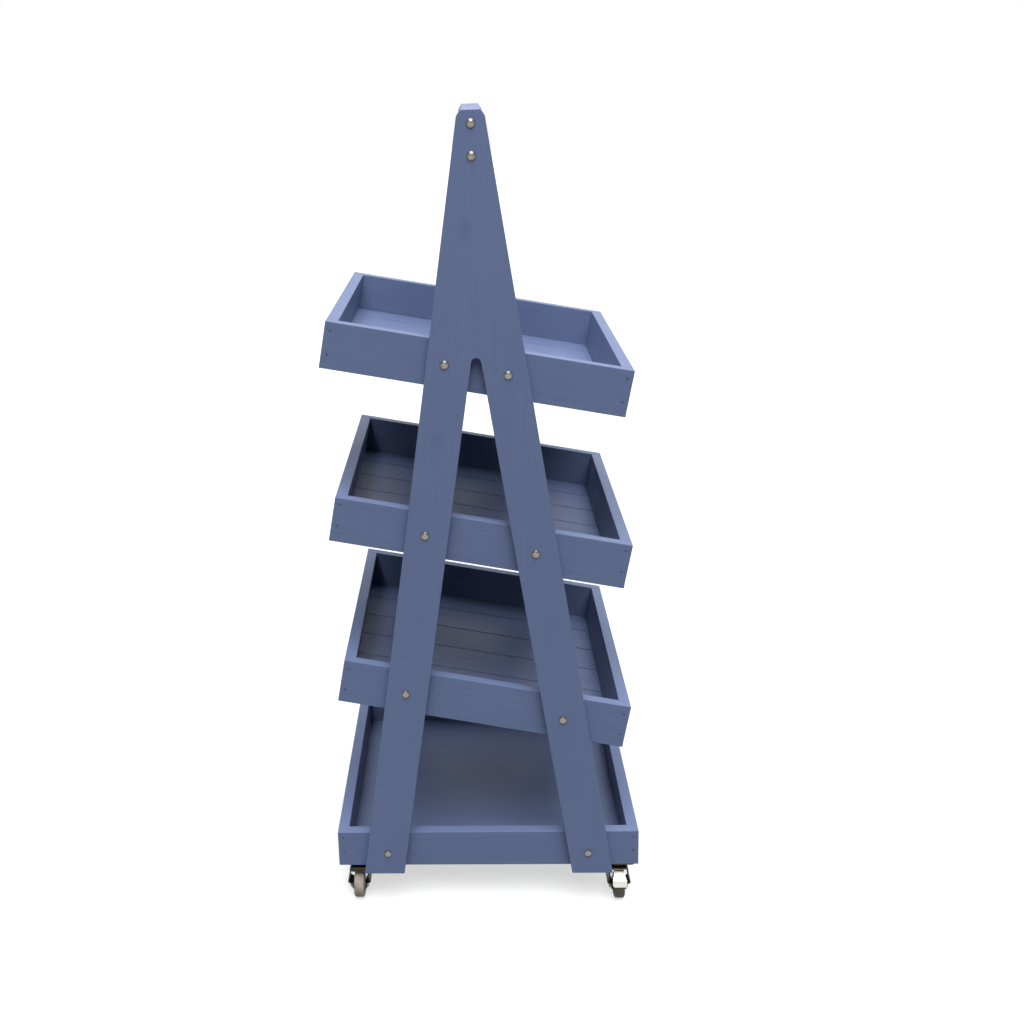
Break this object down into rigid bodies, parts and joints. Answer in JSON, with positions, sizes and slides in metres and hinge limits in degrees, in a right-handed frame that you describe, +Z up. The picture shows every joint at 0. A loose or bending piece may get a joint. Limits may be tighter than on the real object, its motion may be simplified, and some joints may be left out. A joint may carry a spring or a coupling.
{
  "type": "flower cart stand",
  "caption": "Tiered flower cart: A-shaped side panels carry tipped display trays over a level base tray on swivel casters, the downhill pair with foot brakes.",
  "frame": {"origin": "on the floor, under the middle of the cart", "axes": "+Z up; +X towards the low side of the tipped trays; +Y from the front side panel to the back one"},
  "size_m": [0.6, 0.6432, 1.551],
  "materials": {
    "panel_paint": "matte slate-blue paint on smooth board",
    "board_paint": "matte slate-blue paint, faint level grain",
    "floor_paint": "matte slate-blue paint on sawn planks",
    "bolt_steel": "bright zinc plated, domed and smooth",
    "nail_steel": "punched in and painted over",
    "caster_steel": "zinc plated pressed steel, dulled",
    "pin_steel": "zinc plated",
    "brake_steel": "bright zinc plated",
    "wheel_plastic": "moulded, grey",
    "tyre_rubber": "worn grey tread"
  },
  "bodies": {
    "stand": {"front_side_panel": "panel_paint", "back_side_panel": "panel_paint", "crossbar": "panel_paint", "lower_tray_front_board": "board_paint", "lower_tray_back_board": "board_paint", "lower_tray_uphill_board": "board_paint", "lower_tray_downhill_board": "board_paint", "lower_tray_planks": "floor_paint", "lower_tray_nails": "nail_steel", "middle_tray_front_board": "board_paint", "middle_tray_back_board": "board_paint", "middle_tray_uphill_board": "board_paint", "middle_tray_downhill_board": "board_paint", "middle_tray_planks": "floor_paint", "middle_tray_nails": "nail_steel", "top_tray_front_board": "board_paint", "top_tray_back_board": "board_paint", "top_tray_uphill_board": "board_paint", "top_tray_downhill_board": "board_paint", "top_tray_planks": "floor_paint", "top_tray_nails": "nail_steel", "base_front_board": "board_paint", "base_back_board": "board_paint", "base_left_board": "board_paint", "base_right_board": "board_paint", "base_floor_panel": "floor_paint", "base_nails": "nail_steel", "frame_bolts": "bolt_steel", "frame_washers": "bolt_steel", "frame_nuts": "bolt_steel", "crossbar_bolts": "bolt_steel", "crossbar_barrel_nuts": "bolt_steel", "front_left_caster_plate": "caster_steel", "front_right_caster_plate": "caster_steel", "back_left_caster_plate": "caster_steel", "back_right_caster_plate": "caster_steel", "caster_race_balls": "pin_steel", "caster_kingpins": "pin_steel", "caster_plate_screws": "pin_steel", "caster_plate_nuts": "pin_steel"},
    "front_left_fork": {"front_left_caster_fork": "caster_steel", "front_left_caster_axle": "pin_steel"},
    "front_left_wheel": {"front_left_caster_wheel": "wheel_plastic", "front_left_caster_tyre": "tyre_rubber"},
    "front_right_fork": {"front_right_caster_fork": "caster_steel", "front_right_caster_axle": "pin_steel", "front_right_brake_pin": "pin_steel"},
    "front_right_wheel": {"front_right_caster_wheel": "wheel_plastic", "front_right_caster_tyre": "tyre_rubber"},
    "front_right_brake": {"front_right_brake_pedal": "brake_steel"},
    "back_left_fork": {"back_left_caster_fork": "caster_steel", "back_left_caster_axle": "pin_steel"},
    "back_left_wheel": {"back_left_caster_wheel": "wheel_plastic", "back_left_caster_tyre": "tyre_rubber"},
    "back_right_fork": {"back_right_caster_fork": "caster_steel", "back_right_caster_axle": "pin_steel", "back_right_brake_pin": "pin_steel"},
    "back_right_wheel": {"back_right_caster_wheel": "wheel_plastic", "back_right_caster_tyre": "tyre_rubber"},
    "back_right_brake": {"back_right_brake_pedal": "brake_steel"}
  },
  "joints": [
    {"name": "front_left_swivel", "type": "hinge", "parent": "stand", "child": "front_left_fork", "pos_m": [-0.262, -0.264, 0.065], "axis": [0, 0, 1], "continuous": true},
    {"name": "front_left_roll", "type": "hinge", "parent": "front_left_fork", "child": "front_left_wheel", "pos_m": [-0.262, -0.288, 0.025], "axis": [1, 0, 0], "continuous": true},
    {"name": "front_right_swivel", "type": "hinge", "parent": "stand", "child": "front_right_fork", "pos_m": [0.262, -0.2685, 0.065], "axis": [0, 0, 1], "continuous": true},
    {"name": "front_right_roll", "type": "hinge", "parent": "front_right_fork", "child": "front_right_wheel", "pos_m": [0.262, -0.2925, 0.025], "axis": [1, 0, 0], "continuous": true},
    {"name": "front_right_brake_press", "type": "hinge", "parent": "front_right_fork", "child": "front_right_brake", "pos_m": [0.262, -0.2765, 0.056], "axis": [1, 0, 0], "range_deg": [0, 3.7]},
    {"name": "back_left_swivel", "type": "hinge", "parent": "stand", "child": "back_left_fork", "pos_m": [-0.262, 0.264, 0.065], "axis": [0, 0, 1], "continuous": true},
    {"name": "back_left_roll", "type": "hinge", "parent": "back_left_fork", "child": "back_left_wheel", "pos_m": [-0.262, 0.288, 0.025], "axis": [1, 0, 0], "continuous": true},
    {"name": "back_right_swivel", "type": "hinge", "parent": "stand", "child": "back_right_fork", "pos_m": [0.262, 0.2685, 0.065], "axis": [0, 0, 1], "continuous": true},
    {"name": "back_right_roll", "type": "hinge", "parent": "back_right_fork", "child": "back_right_wheel", "pos_m": [0.262, 0.2925, 0.025], "axis": [1, 0, 0], "continuous": true},
    {"name": "back_right_brake_press", "type": "hinge", "parent": "back_right_fork", "child": "back_right_brake", "pos_m": [0.262, 0.2765, 0.056], "axis": [-1, 0, 0], "range_deg": [0, 3.7]}
  ]
}
